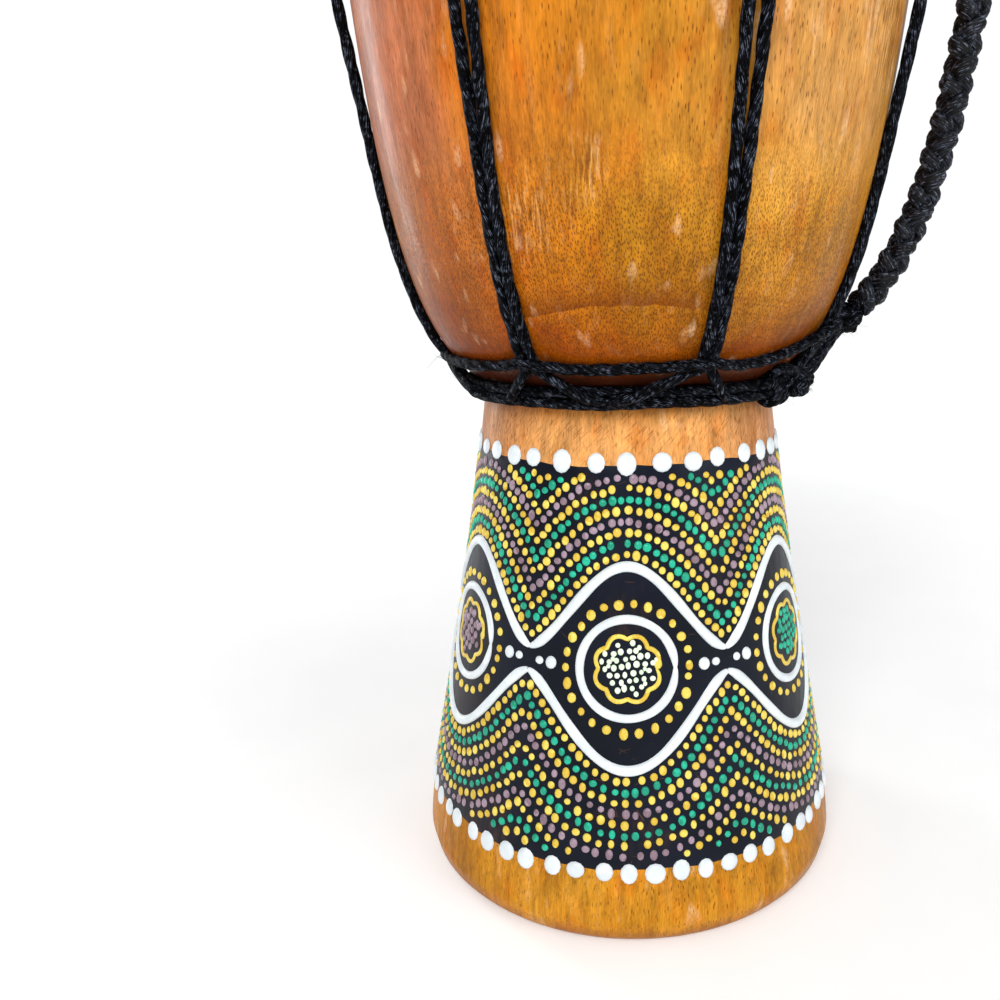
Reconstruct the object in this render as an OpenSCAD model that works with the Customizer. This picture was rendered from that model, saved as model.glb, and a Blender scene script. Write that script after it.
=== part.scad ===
// Djembe: a goblet drum turned from one block of wood, with a rope-laced goat skin head
// and a plaited carrying strap.
// Millimetres. The origin is the centre of the foot's underside and +Z is up. Azimuths
// run in degrees from -Y (the front) towards +X.

/* [Shell] */
// Height of the drum from the floor to the top of the skin
drum_h = 500; // [490:1:520]
// Outer radius of the rim, where the skin turns over it
rim_r = 113; // [112:0.5:114]
// Thickness of the wall at the rim
rim_wall = 9; // [7:0.5:11]
// Radius of the crease where the bowl meets the foot
crease_r = 58.5; // [58:0.1:59]
// Height of the crease
crease_z = 203; // [202:0.5:204]
// Radius of the throat, the narrow bore that joins bowl and foot
throat_r = 38; // [34:1:42]
// Widest outer radius of the foot
foot_r = 90.4; // [89:0.2:92]
// Height at which the foot is widest
foot_swell_z = 10; // [8:1:12]
// Outer radius of the foot's underside
base_r = 87; // [85:0.5:88]
// Radius of the foot's opening
foot_bore_r = 76; // [72:1:78]

/* [Skin and hoops] */
// Thickness of the skin
skin_t = 1; // [0.8:0.1:1.2]
// Radius of the rod that the flesh hoop is bent from
flesh_rod_r = 3; // [2.5:0.1:3]
// Height of the flesh hoop
flesh_z = 443; // [440:1:446]
// Height that the skin's trimmed collar reaches
collar_z = 473; // [468:1:478]
// Radius of the rod that the crown hoop is bent from
crown_rod_r = 2.5; // [2:0.1:2.5]
// Thickness of the cord whipping on the crown hoop
crown_wrap_t = 1.5; // [1.2:0.1:1.5]
// Radius of the rod that the waist hoop is bent from
waist_rod_r = 1.75; // [1.5:0.05:1.75]

/* [Rope] */
// Radius of the lacing rope
rope_r = 2; // [1.8:0.05:2]
// Gap between a rope and the wood that it lies on
rope_gap = 0.3; // [0.3:0.1:0.5]
// Half the distance between the two ropes of a pair, up at the crown hoop
pair_spread = 5; // [4.5:0.25:5.5]
// Height of the belt rope between the lacing pairs
belt_z = 213; // [212.5:0.5:214]

/* [Strap] */
// Radius of the plaited strap
strap_r = 6.5; // [6:0.25:6.5]
// Azimuth of the strap, in degrees
strap_az = 83; // [82:1:85]
// Radius of the knots at the strap's two ends
knot_r = 6.5; // [6:0.25:6.5]

/* [Hidden] */
$fn = 96;

// Azimuths of the seven hand-tied lacing pairs, so not quite even
LACE_AZ = [-80, -27, 21, 71, 121, 167, 224];
// How far the left and right leg of each pair's waist loop stray from the pair, in degrees
LEG_SPREAD = [[16, 20], [9, 14], [19, 8], [13, 13], [10, 17], [12, 9], [19, 11]];
PAIRS = [0:len(LACE_AZ) - 1];
SIDES = [-1, 1];

// Plain clearance between two pieces that touch on the real drum
touch = 0.05;

// Shell: each outline is a Bezier curve of four [radius, height] points
rim_round = 4;
rim_z = drum_h - skin_t - touch;
BOWL_OUT = [
    [crease_r, crease_z],
    [crease_r + 40.5, crease_z + 22.5],
    [rim_r - 11.5, crease_z + 121],
    [rim_r, rim_z - rim_round]
];
FOOT_OUT = [
    [foot_r, foot_swell_z],
    [foot_r - 2.2, foot_swell_z + 30],
    [crease_r + 14.5, crease_z - 113],
    [crease_r, crease_z]
];
BOWL_IN = [
    [throat_r, crease_z - 8],
    [throat_r + 46, crease_z + 17],
    [rim_r - 27, crease_z + 110],
    [rim_r - rim_wall, rim_z - 3]
];
FOOT_IN = [
    [foot_bore_r, 0],
    [foot_bore_r - 5, 60],
    [throat_r + 10, crease_z - 93],
    [throat_r, crease_z - 8]
];
CURVE_STEPS = 28;

// Crown: the loops that hold the lacing pass between the collar and the crown hoop
skin_gap = touch;
flesh_r = bowl_r(flesh_z) + skin_gap + skin_t + flesh_rod_r + touch;
crown_wrap_r = crown_rod_r + crown_wrap_t;
crown_loop_r = crown_wrap_r + rope_r + touch;
crown_z = flesh_z + 10;
crown_r = bowl_r(crown_z) + skin_gap + 2 * skin_t + crown_loop_r + rope_r + 0.2;
crown_out_r = crown_r + crown_loop_r;

// Waist: the hoop and the two turns of rope that lie over it in the crease
waist_rod_at = [crease_r + 2.4, crease_z - 1.4];
turn_r = 1.85;
TURNS_AT = [[crease_r + 6.1, crease_z - 2.9], [crease_r + 6.5, crease_z + 1.1]];
leg_out_r = crease_r + 6.5 + turn_r + rope_r + touch;
// From its foot on, a leg runs along the turns and in between them: [degrees, radius, height] added
LEG_TUCK = [[2.5, 0, -0.8], [5, -1.6, -1.2], [7.5, -4.1, -1.5]];

// Lacing: straight from the crown hoop down to tangent_z, then along the bowl
tangent_z = 275;
merge_z = 265;
pair_touch = rope_r + touch;
leg_top_spread = 1.6;
LACE_TOP_Z = [for (z = [275:12:431]) z];
LACE_LOW_Z = [265, 256, 248, 241, 235, 229.5, 224.5, 220, 216];

// Belt rope: lifted over each lacing pair, and pulled up where the strap is tied
belt_pull = 12;
belt_pull_az = 78;
belt_pull_width = 24;
belt_lift = 1.5;
belt_lift_width = 7;
BELT_AZ = [for (a = [0:5:355]) a];

// Strap: points of its centreline as [radius, height] in the plane at strap_az
KNOT_LOW_AT = [87, 227];
KNOT_HIGH_AT = [133.8, 449.5];
STRAP_ROUTE = [
    [92, 232], [96.5, 237], [100.5, 243], [104.5, 250], [108, 258], [111.5, 267],
    [114.5, 277], [117.5, 289], [120, 301], [122, 314], [124, 327], [126, 341],
    [128, 355], [129.5, 370], [131, 385], [132.3, 400], [133.4, 415], [134.2, 430],
    [134.5, 442]
];
// The two strands that tie the lower knot to the waist: [radius, azimuth, height]
TIE_ROUTE = [[86.5, 83, 226.5], [81, 79, 220], [77, 75, 213.5], [73.5, 70, 208], [71, 65, 204.5]];
tie_half_gap = 2.2;
// The tied bundle of rope ends at the waist: [radius, azimuth, height] of its middle
WAIST_KNOT_AT = [71.6, 64, 203.5];
waist_knot_r = 5.5;

wood = [0.78, 0.45, 0.13];
hide = [0.88, 0.80, 0.64];
iron = [0.25, 0.25, 0.27];
black_rope = [0.05, 0.05, 0.06];

// Point at t on the Bezier curve with the four points p
function bezier(p, t) =
    pow(1 - t, 3) * p[0] + 3 * t * pow(1 - t, 2) * p[1]
    + 3 * t * t * (1 - t) * p[2] + pow(t, 3) * p[3];

function curve(p) = [for (i = [0:CURVE_STEPS]) bezier(p, i / CURVE_STEPS)];

function reversed(list) = [for (i = [len(list) - 1:-1:0]) list[i]];

// Parameter of the bowl's outline at height z, by halving the interval
function bowl_t(z, low = 0, high = 1, steps = 22) =
    steps == 0 ? (low + high) / 2
    : bezier(BOWL_OUT, (low + high) / 2)[1] < z
        ? bowl_t(z, (low + high) / 2, high, steps - 1)
        : bowl_t(z, low, (low + high) / 2, steps - 1);

function bowl_r(z) = bezier(BOWL_OUT, bowl_t(z))[0];

function bowl_slope(z) = bowl_r(z + 0.5) - bowl_r(z - 0.5);

// Radius, at height z, of a line that runs d clear of the bowl's surface
function lie_r(z, d) = bowl_r(z) + d * sqrt(1 + pow(bowl_slope(z), 2));

function mix(a, b, t) = a + (b - a) * t;

// Point at radius r, azimuth az and height z, moved s sideways
function at(r, az, z, s = 0) = [r * sin(az) + s * cos(az), -r * cos(az) + s * sin(az), z];

function unit(v) = v / norm(v);

// Ring of points round point i of a route, with across as its reference direction
function ring(route, i, along, across, radius, sides) =
    let (
        t = unit(along),
        n = unit(across - (across * t) * t),
        b = cross(t, n)
    )
    [for (k = [0:sides - 1]) route[i] + radius * (cos(360 * k / sides) * n + sin(360 * k / sides) * b)];

// Two triangles for each side of the band between ring i and ring j
function band(i, j, sides) = [
    for (k = [0:sides - 1])
        let (m = (k + 1) % sides)
        each [
            [i * sides + k, j * sides + k, j * sides + m],
            [i * sides + k, j * sides + m, i * sides + m]
        ]
];

// Rope along an open route
module tube(route, radius, across, sides = 8) {
    last = len(route) - 1;
    rings = [
        for (i = [0:last])
            ring(route, i, route[min(i + 1, last)] - route[max(i - 1, 0)], across, radius, sides)
    ];
    polyhedron(
        points = [for (r = rings) each r],
        faces = concat(
            [[for (k = [0:sides - 1]) k]],
            [for (i = [0:last - 1]) each band(i, i + 1, sides)],
            [[for (k = [sides - 1:-1:0]) last * sides + k]]
        )
    );
}

// Rope along a closed route
module closed_tube(route, radius, across, sides = 8) {
    n = len(route);
    rings = [
        for (i = [0:n - 1])
            ring(route, i, route[(i + 1) % n] - route[(i + n - 1) % n], across, radius, sides)
    ];
    polyhedron(
        points = [for (r = rings) each r],
        faces = [for (i = [0:n - 1]) each band(i, (i + 1) % n, sides)]
    );
}

// Level ring of round rod or rope
module hoop(ring_r, z, rod_r) {
    translate([0, 0, z])
        rotate_extrude()
            translate([ring_r, 0])
                circle(r = rod_r, $fn = 32);
}

module shell() {
    rim_outer = [rim_r - rim_round, rim_z - rim_round];
    outline = concat(
        [[base_r - 2, 0], [base_r, 1.5], [base_r + 2, 4]],
        curve(FOOT_OUT),
        curve(BOWL_OUT),
        [for (a = [22.5:22.5:90]) rim_outer + rim_round * [cos(a), sin(a)]],
        [[rim_r - rim_wall + 1, rim_z - 1]],
        reversed(curve(BOWL_IN)),
        reversed(curve(FOOT_IN))
    );
    color(wood)
        rotate_extrude()
            polygon(outline);
}

// Head over the rim, roll round the flesh hoop, and trimmed collar behind the crown hoop
module drum_skin() {
    side_z = [for (z = [flesh_z:6:rim_z - rim_round - 2]) z];
    arc = [for (a = [0:22.5:90]) [cos(a), sin(a)]];
    rim_centre = [rim_r - rim_round, rim_z - rim_round];
    inner_r = rim_round + skin_gap;
    head = concat(
        [for (z = side_z) [bowl_r(z) + skin_gap + skin_t, z]],
        [for (p = arc) rim_centre + (inner_r + skin_t) * p],
        [[0, rim_z + skin_gap + skin_t], [0, rim_z + skin_gap]],
        reversed([for (p = arc) rim_centre + inner_r * p]),
        reversed([for (z = side_z) [bowl_r(z) + skin_gap, z]])
    );
    collar_zs = [for (z = [flesh_z + flesh_rod_r + 0.5:5:collar_z]) z];
    collar = concat(
        [for (z = collar_zs) [bowl_r(z) + skin_gap + 2 * skin_t, z]],
        reversed([for (z = collar_zs) [bowl_r(z) + skin_gap + skin_t / 2, z]])
    );
    color(hide) {
        rotate_extrude()
            polygon(head);
        rotate_extrude()
            polygon(collar);
        difference() {
            hoop(flesh_r, flesh_z, flesh_rod_r + touch + skin_t);
            hoop(flesh_r, flesh_z, flesh_rod_r + touch);
        }
    }
}

module flesh_hoop() {
    color(iron)
        hoop(flesh_r, flesh_z, flesh_rod_r);
}

module crown_hoop() {
    color(iron)
        hoop(crown_r, crown_z, crown_rod_r);
}

module crown_wrap() {
    color(black_rope)
        difference() {
            hoop(crown_r, crown_z, crown_wrap_r);
            hoop(crown_r, crown_z, crown_rod_r + 0.02);
        }
}

// One turn of rope round the crown hoop at azimuth az
module crown_turn(az) {
    rotate([0, 0, az])
        translate([0, -crown_r, crown_z])
            rotate([0, 90, 0])
                rotate_extrude()
                    translate([crown_loop_r, 0])
                        circle(r = rope_r, $fn = 32);
}

// Two turns and the bar that crosses them, for each lacing pair
module crown_loops() {
    turn_angle = asin(pair_spread / crown_r);
    bar_r = crown_out_r + 2 * rope_r - 0.3;
    color(black_rope)
        for (i = PAIRS) {
            for (side = SIDES)
                crown_turn(LACE_AZ[i] + side * turn_angle);
            rotate([0, 0, LACE_AZ[i]])
                translate([0, -bar_r, crown_z]) {
                    rotate([0, 90, 0])
                        cylinder(h = 2 * pair_spread, r = rope_r, center = true, $fn = 32);
                    for (side = SIDES)
                        translate([side * pair_spread, 0, 0])
                            sphere(r = rope_r, $fn = 32);
                }
        }
}

module waist_hoop() {
    color(iron)
        hoop(waist_rod_at[0], waist_rod_at[1], waist_rod_r);
}

module waist_turns() {
    color(black_rope)
        for (p = TURNS_AT)
            hoop(p[0], p[1], turn_r);
}

function off_wood() = rope_r + rope_gap;

// Smooth bump of height 1 at azimuth centre, for angles that may wrap round
function bump(az, centre, width) =
    let (away = abs((az - centre + 540) % 360 - 180))
    exp(-pow(away / width, 2));

function near_pair(az) = max([for (a = LACE_AZ) bump(az, a, belt_lift_width)]);

function belt_height(az) =
    belt_z + belt_lift * near_pair(az) + belt_pull * bump(az, belt_pull_az, belt_pull_width);

function belt_point(az) =
    let (z = belt_height(az))
    at(lie_r(z, off_wood()) + 2 * rope_r * near_pair(az), az, z);

module belt_rope() {
    color(black_rope)
        closed_tube([for (az = BELT_AZ) belt_point(az)], rope_r, [0, 0, 1]);
}

// Radius of a lacing rope's centreline at height z
function lace_r(z) =
    z > tangent_z
    ? mix(lie_r(tangent_z, off_wood()), crown_out_r, (z - tangent_z) / (crown_z - tangent_z))
    : lie_r(z, off_wood());

// Distance of a lacing rope from the middle of its pair at height z
function lace_side(z) =
    z > merge_z ? mix(pair_touch, pair_spread, (z - merge_z) / (crown_z - merge_z)) : pair_touch;

// The ropes end under the belt, where the waist loops take over
function lace_end_z(i) = belt_height(LACE_AZ[i]) - 2;

module lacing_pair(i) {
    az = LACE_AZ[i];
    end_z = lace_end_z(i);
    heights = concat(
        [end_z],
        reversed([for (z = LACE_LOW_Z) if (z > end_z + 2) z]),
        LACE_TOP_Z,
        [crown_z]
    );
    color(black_rope)
        for (side = SIDES)
            tube([for (z = heights) at(lace_r(z), az, z, side * lace_side(z))], rope_r, at(1, az, 0));
}

// One leg of a waist loop: from its lacing pair down over the turns, and tucked in between them
function leg_route(i, side) =
    let (
        spread = LEG_SPREAD[i][side < 0 ? 0 : 1],
        top_z = lace_end_z(i),
        foot_z = crease_z,
        top_r = lie_r(top_z, off_wood()),
        slant = [
            for (t = [0:1 / 6:1])
                let (
                    z = mix(top_z, foot_z, t),
                    r = max(mix(top_r, leg_out_r, t), z > foot_z + 4 ? lie_r(z, off_wood()) : 0)
                )
                at(r, LACE_AZ[i] + side * mix(leg_top_spread, spread, t), z)
        ],
        tuck = [
            for (p = LEG_TUCK)
                at(leg_out_r + p[1], LACE_AZ[i] + side * (spread + p[0]), foot_z + p[2])
        ]
    )
    concat(slant, tuck);

module waist_loops() {
    color(black_rope)
        for (i = PAIRS, side = SIDES)
            tube(leg_route(i, side), rope_r, at(1, LACE_AZ[i], 0));
}

module waist_knot() {
    color(black_rope)
        translate(at(WAIST_KNOT_AT[0], WAIST_KNOT_AT[1], WAIST_KNOT_AT[2]))
            sphere(r = waist_knot_r, $fn = 48);
}

module strap_tie_low() {
    color(black_rope)
        for (side = SIDES)
            tube(
                [for (p = TIE_ROUTE) at(p[0], p[1], p[2] + side * tie_half_gap)],
                rope_r,
                [0, 0, 1]
            );
}

function in_strap_plane(p) = at(p[0], strap_az, p[1]);

module strap_knot_low() {
    color(black_rope)
        translate(in_strap_plane(KNOT_LOW_AT))
            sphere(r = knot_r, $fn = 48);
}

module strap_tie_high() {
    color(black_rope)
        for (side = SIDES)
            crown_turn(strap_az + side * 1.1);
}

module strap_knot_high() {
    color(black_rope)
        translate(in_strap_plane(KNOT_HIGH_AT))
            sphere(r = knot_r, $fn = 48);
}

module strap() {
    color(black_rope)
        tube([for (p = STRAP_ROUTE) in_strap_plane(p)], strap_r, at(0, strap_az, 0, 1), 12);
}

shell();
drum_skin();
flesh_hoop();
crown_hoop();
crown_wrap();
crown_loops();
waist_hoop();
waist_turns();
waist_loops();
belt_rope();
waist_knot();
strap_tie_low();
strap_knot_low();
strap_tie_high();
strap_knot_high();
strap();
for (i = PAIRS)
    lacing_pair(i);
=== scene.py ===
"""Looks of the djembe: lacquered wood, painted foot, laid lacing, plaited strap, hide head."""

import math
import random

import bpy
import numpy as np
from mathutils import Matrix


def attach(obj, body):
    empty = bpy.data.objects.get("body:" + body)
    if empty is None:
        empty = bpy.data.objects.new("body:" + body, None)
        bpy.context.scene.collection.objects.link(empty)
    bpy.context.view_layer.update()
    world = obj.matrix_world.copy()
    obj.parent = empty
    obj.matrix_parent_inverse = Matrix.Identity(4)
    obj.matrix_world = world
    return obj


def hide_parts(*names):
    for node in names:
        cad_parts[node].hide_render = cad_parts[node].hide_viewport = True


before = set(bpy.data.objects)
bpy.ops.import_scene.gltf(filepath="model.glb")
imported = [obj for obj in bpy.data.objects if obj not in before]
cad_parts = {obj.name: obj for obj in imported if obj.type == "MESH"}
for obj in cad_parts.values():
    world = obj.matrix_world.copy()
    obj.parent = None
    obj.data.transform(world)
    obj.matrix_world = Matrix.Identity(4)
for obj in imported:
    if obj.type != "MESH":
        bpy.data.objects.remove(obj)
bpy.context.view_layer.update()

# Lengths are in millimetres here and turn into metres where a mesh is made.
# A place is given by radius, azimuth in degrees from -Y towards +X, and height.
METRE = 0.001
TOTAL_HEIGHT = 500.0
SEGMENTS = 288
rng = random.Random(11)

# Camera
CAMERA_AT = (0.0, -0.3664, 0.2396)
CAMERA_PITCH = -13.69
CAMERA_YAW = -2.64
CAMERA_ROLL = -0.70
CAMERA_LENS = 31.35
CAMERA_SHIFT = -0.0881

# Shell outlines: Bezier points [radius, height], as the CAD part turns them
BOWL_OUT = ((58.5, 203), (99, 225.5), (101.5, 324), (113, 494.95))
FOOT_OUT = ((90.4, 10), (88.2, 40), (73, 90), (58.5, 203))
BOWL_IN = ((38, 195), (84, 220), (86, 313), (104, 495.95))
FOOT_IN = ((76, 0), (71, 60), (48, 110), (38, 195))
BASE_EDGE = ((85, 0), (87, 1.5), (89, 4))
RIM_CENTRE = (109, 494.95)
RIM_ROUND = 4.0
RIM_INNER = (105, 497.95)
RIM_TOP = 498.95

# Head, hoops and crown
SKIN_T = 1.0
TOUCH = 0.05
FLESH_Z = 443.0
FLESH_ROD = 3.0
CROWN_Z = 453.0
CROWN_WRAP = 4.0
WRAPS = 290
COLLAR_Z = 473.0

# Rope: END_R is the radius of loose ends and of rope that is pulled tight in a knot
ROPE_R = 2.0
END_R = 1.9
# How far off the wood the middle of a rope is that lies on it
OFF_WOOD = 1.95
# Lacing pairs: half their gap at the crown and where they touch. They lie on the wood up to
# TANGENT_Z and touch up to MERGE_Z.
LACE_AZ = (-80, -27, 21, 71, 121, 167, 224)
PAIR_SPREAD = 5.0
PAIR_TOUCH = 2.05
TANGENT_Z = 275.0
MERGE_Z = 265.0
# The two legs below each pair: how many degrees they stray at the top and at the crease,
# and their last steps under the waist turns. One that strays less tucks in more steeply.
LEG_TOP_SPREAD = 1.6
LEG_SPREAD = ((16, 20), (9, 14), (19, 8), (13, 13), (10, 17), (12, 9), (19, 11))
LEG_OUT = 68.9
CREASE_Z = 203.0
LEG_TUCK = ((2.5, 0, -0.8), (5, -1.6, -1.2), (7.5, -4.1, -1.5))
STEEP_LEG = 12
WAIST_TURNS = ((64.6, 200.1), (65.0, 204.1))
# How far the belt rope lifts off the wood where it crosses a lacing pair, and the pair it is
# pressed in beside
BELT_RIDE = 3.3
BELT_UNDER = -80

# Strap, as the CAD part routes it: [radius, height] in the plane at its azimuth
STRAP_AZ = 83.0
STRAP_R = 6.5
KNOT_LOW = (87, 83, 227)
KNOT_HIGH = (133.8, 83, 449.5)
KNOT_R = 6.5
WAIST_KNOT = (71.6, 64, 203.5)
WAIST_KNOT_R = 5.5
# Rope wound round the waist bundle beside its knot, loose ends that stick out of it, and
# strands that run up beside the strap's tie
WHIP_AT = (65.2, 202.6)
WHIP_HALF = (3.9, 5.7)
WHIP_AZ = (51, 61)
WHIP_TURNS = 3
ROPE_ENDS = (
    ((72, 62, 206), (73.5, 57, 209), (72.5, 52, 210.5), (70.5, 48, 209)),
    ((71, 66, 204), (74, 69, 203), (74.5, 73, 204.5), (72.5, 76, 206)),
    ((85, 84, 227), (79.5, 80, 221.5), (75, 76, 216), (71.5, 72, 210.5), (69, 66, 205.5)),
    ((86, 82, 225), (80, 77, 218), (75.5, 72, 210.5), (71.5, 67, 204.5), (69, 62, 201)),
    ((82, 82, 224), (76.5, 80, 219), (72, 78, 214), (69, 76, 209), (66.5, 72, 205)),
    ((78, 76, 219), (73.5, 68, 213), (70.5, 61, 209), (68.5, 54, 206), (67, 46, 204)),
)
STRAP_ROUTE = (
    (92, 232), (96.5, 237), (100.5, 243), (104.5, 250), (108, 258), (111.5, 267),
    (114.5, 277), (117.5, 289), (120, 301), (122, 314), (124, 327), (126, 341),
    (128, 355), (129.5, 370), (131, 385), (132.3, 400), (133.4, 415), (134.2, 430),
    (134.5, 442),
)
TIE_ROUTE = ((86.5, 83, 226.5), (81, 79, 220), (77, 75, 213.5), (73.5, 70, 208), (71, 65, 204.5))
TIE_HALF_GAP = 2.2
# Plait: length of one turn of a strand, half its width and thickness, and how far it goes
# over and under the others
BRAID_PITCH = 26.0
STRAND_WIDE = 3.25
STRAND_THICK = 2.7
STRAND_RISE = 2.1
# Steps left off the plait's top, so that it turns clear of its upper knot
STRAP_CLEAR = 2
# The neck that runs from the plait's top into that knot, and how far it starts inside the plait
NECK_R = 5.0
NECK_START = 4

# Painted band on the foot
BAND_LOW = 30.6
BAND_HIGH = 178.5
BAND_LIFT = 0.18
# The foot's wall unrolled, in which the pattern is laid out, and the width of half of it
MM_PER_DEG = 1.31
PANEL = 180 * MM_PER_DEG
# Heights between which rows of dots and filled areas stay
ROWS_WITHIN = (36.3, 173.5)
FILL_WITHIN = (36.0, 174.5)
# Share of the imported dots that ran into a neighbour
MERGED = 0.16
# Half the foot has a row of cells between two waves: their middle's height, half their height,
# half the gap where the waves come close, and how round the cells are
CELLS = 3
CELL_WIDE = PANEL / CELLS
MIDDLE = 105.0
CELL_HALF = 37.0
CELL_NECK = 4.5
CELL_ROUND = 0.75
WAVE_WIDTH = 3.7
# Each cell's medallion: a scalloped line round dots, a white ring, and a circle of beads
SCALLOP_R = 12.5
SCALLOPS = 8
SCALLOP_DEEP = 0.14
RING_R = 18.0
RING_WIDTH = 3.2
BEADS_R = 23.5
# White dots beside it: how far from the middle, and radius
NECK_DOTS = ((29.5, 2.3), (34.5, 1.6))
# Colour, spacing and size of the dots in each medallion
FILLS = (("cream", 2.9, 1.05), ("green", 3.4, 1.3), ("mauve", 3.7, 1.35))
# Rows of dots that follow each wave up to the band's edge
ROWS = 16
ROW_COLOURS = ("yellow", "green", "yellow", "mauve")
# Width of the fine yellow lines, and of the blob they start in
FINE = 1.7
BLOB = 3.0

# Lacquered wood: the colour at azimuths round the bowl, partly painted sheen, and the painted shade in the
# crease
# The tones around 34 degrees are paler and bluer partly as painted sheen, the lacquer's reflection on the
# right side
TONES = (
    (-180, (0.42, 0.145, 0.010)), (-125, (0.36, 0.105, 0.010)), (-85, (0.36, 0.105, 0.022)),
    (-62, (0.38, 0.122, 0.058)), (-38, (0.42, 0.130, 0.046)), (-29, (0.47, 0.138, 0.012)),
    (-14, (0.45, 0.141, 0.007)), (0, (0.38, 0.148, 0.009)), (18, (0.43, 0.174, 0.018)),
    (34, (0.53, 0.250, 0.062)), (62, (0.48, 0.215, 0.040)), (95, (0.44, 0.170, 0.014)),
    (140, (0.38, 0.120, 0.008)), (180, (0.42, 0.145, 0.010)),
)
# Painted shade: the dark tone of the bowl's underside towards the crease
CREASE_SHADE_TONE = (0.20, 0.035, 0.001)
# Growth layers: how far their edges rise and fall, where the first is, and how far apart they are
GROWTH_WAVE = 3.0
GROWTH_SHIFT = 9.0
GROWTH_STEP = 24.0
# Where the scraper chattered, and where most pale runs are, partly painted sheen: azimuth, height, and
# reach in each
CHATTER = (
    (-20, 261, 11, 18), (-8, 274, 7, 14), (58, 322, 12, 22), (132, 290, 13, 20),
    (-118, 350, 12, 24),
)
SHEEN_RUNS_AT = (54, 325, 50, 120)
# How much of the pale runs, partly painted sheen, shows away from there
SHEEN_RUNS_ELSEWHERE = 0.12
# Short pores low on the bowl: one in each cell of so many degrees and millimetres
DOT_WIDE = 0.47
DOT_TALL = 1.6


# ---- shape helpers

def bezier(points, count):
    a, b, c, d = np.array(points, float)
    t = np.linspace(0, 1, count)[:, None]
    s = 1 - t
    return s ** 3 * a + 3 * t * s ** 2 * b + 3 * t * t * s * c + t ** 3 * d


BOWL_CURVE = bezier(BOWL_OUT, 400)
FOOT_CURVE = bezier(FOOT_OUT, 400)


def bowl_r(z):
    return np.interp(z, BOWL_CURVE[:, 1], BOWL_CURVE[:, 0])


def foot_r(z):
    return np.interp(z, FOOT_CURVE[:, 1], FOOT_CURVE[:, 0])


def lie_r(z, away):
    """Radius at which something is so far away from the bowl's wall."""
    slope = bowl_r(z + 0.5) - bowl_r(z - 0.5)
    return bowl_r(z) + away * np.sqrt(1 + slope ** 2)


def at(r, az, z, side=0.0):
    """The point at a place, moved sideways along the wall."""
    a = np.radians(az)
    x = r * np.sin(a) + side * np.cos(a)
    y = -r * np.cos(a) + side * np.sin(a)
    return np.stack(np.broadcast_arrays(x, y, z), -1).astype(float)


def smooth_line(points, step=0.8):
    """Even points, a step apart, on a Catmull-Rom curve through the given ones."""
    p = np.array(points, float)
    p = np.vstack([2 * p[0] - p[1], p, 2 * p[-1] - p[-2]])
    t = np.linspace(0, 1, 16, endpoint=False)[:, None]
    parts = []
    for a, b, c, d in zip(p[:-3], p[1:-2], p[2:-1], p[3:]):
        parts.append(0.5 * (2 * b + (c - a) * t + (2 * a - 5 * b + 4 * c - d) * t ** 2
                            + (3 * b - a - 3 * c + d) * t ** 3))
    parts.append(p[-2:-1])
    line = np.vstack(parts)
    far = steps_along(line)
    count = max(3, int(round(far[-1] / step)) + 1)
    want = np.linspace(0, far[-1], count)
    return np.stack([np.interp(want, far, line[:, k]) for k in range(p.shape[1])], -1)


def unit(v):
    return v / np.linalg.norm(v, axis=-1, keepdims=True)


def any_way(reach=1.0):
    """A random vector, with each of its parts within the reach."""
    return np.array([rng.uniform(-reach, reach) for _ in range(3)])


def mix(a, b, t):
    return a + (b - a) * t


def ripple(angle, *waves):
    """A sum of sines, each given by its size, its count and its shift."""
    return sum(size * np.sin(count * angle + shift) for size, count, shift in waves)


def steps_along(line):
    """Distance from the line's start to each of its points."""
    return np.concatenate([[0], np.cumsum(np.linalg.norm(np.diff(line, axis=0), axis=1))])


def left_of(line):
    """The direction to the left at each point of a flat line."""
    along = unit(np.gradient(line, axis=0))
    return np.stack([-along[:, 1], along[:, 0]], -1)


def frames_along(route, closed=False):
    """Tangent and two normals at each point, carried along with no sudden turn."""
    if closed:
        tangent = unit(np.roll(route, -1, 0) - np.roll(route, 1, 0))
    else:
        tangent = unit(np.gradient(route, axis=0))
    start = np.cross(tangent[0], [0.31, 0.17, 0.93])
    normal = [unit(start)]
    for t in tangent[1:]:
        n = normal[-1] - np.dot(normal[-1], t) * t
        normal.append(unit(n))
    normal = np.array(normal)
    if closed:
        last = normal[-1] - np.dot(normal[-1], tangent[0]) * tangent[0]
        gap = math.atan2(np.dot(np.cross(last, normal[0]), tangent[0]), np.dot(last, normal[0]))
        turn = np.linspace(0, gap, len(route))[:, None]
        normal = normal * np.cos(turn) + np.cross(tangent, normal) * np.sin(turn)
    return tangent, normal, np.cross(tangent, normal)


class Build:
    """Collects the points and faces of one piece, in millimetres."""

    def __init__(self):
        self.points, self.faces, self.grain, self.kinds = [], [], [], []
        self.count = 0

    def add(self, points, faces, grain=None, kind=0):
        points = np.asarray(points, float).reshape(-1, 3)
        self.points.append(points)
        self.grain.append(np.zeros_like(points) if grain is None else grain.reshape(-1, 3))
        self.faces += [tuple(i + self.count for i in f) for f in faces]
        self.kinds += [kind] * len(faces)
        self.count += len(points)

    def piece(self, name, materials, replaces=(), body="drum"):
        mesh = bpy.data.meshes.new(name)
        mesh.from_pydata((np.vstack(self.points) * METRE).tolist(), [], self.faces)
        mesh.polygons.foreach_set("use_smooth", [True] * len(mesh.polygons))
        mesh.polygons.foreach_set("material_index", self.kinds)
        grain = mesh.attributes.new("grain", "FLOAT_VECTOR", "POINT")
        grain.data.foreach_set("vector", np.vstack(self.grain).astype(np.float32).ravel())
        for material in materials:
            mesh.materials.append(material)
        mesh.validate()
        obj = bpy.data.objects.new(name, mesh)
        bpy.context.scene.collection.objects.link(obj)
        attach(obj, body)
        if replaces:
            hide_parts(*replaces)
        return obj


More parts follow.
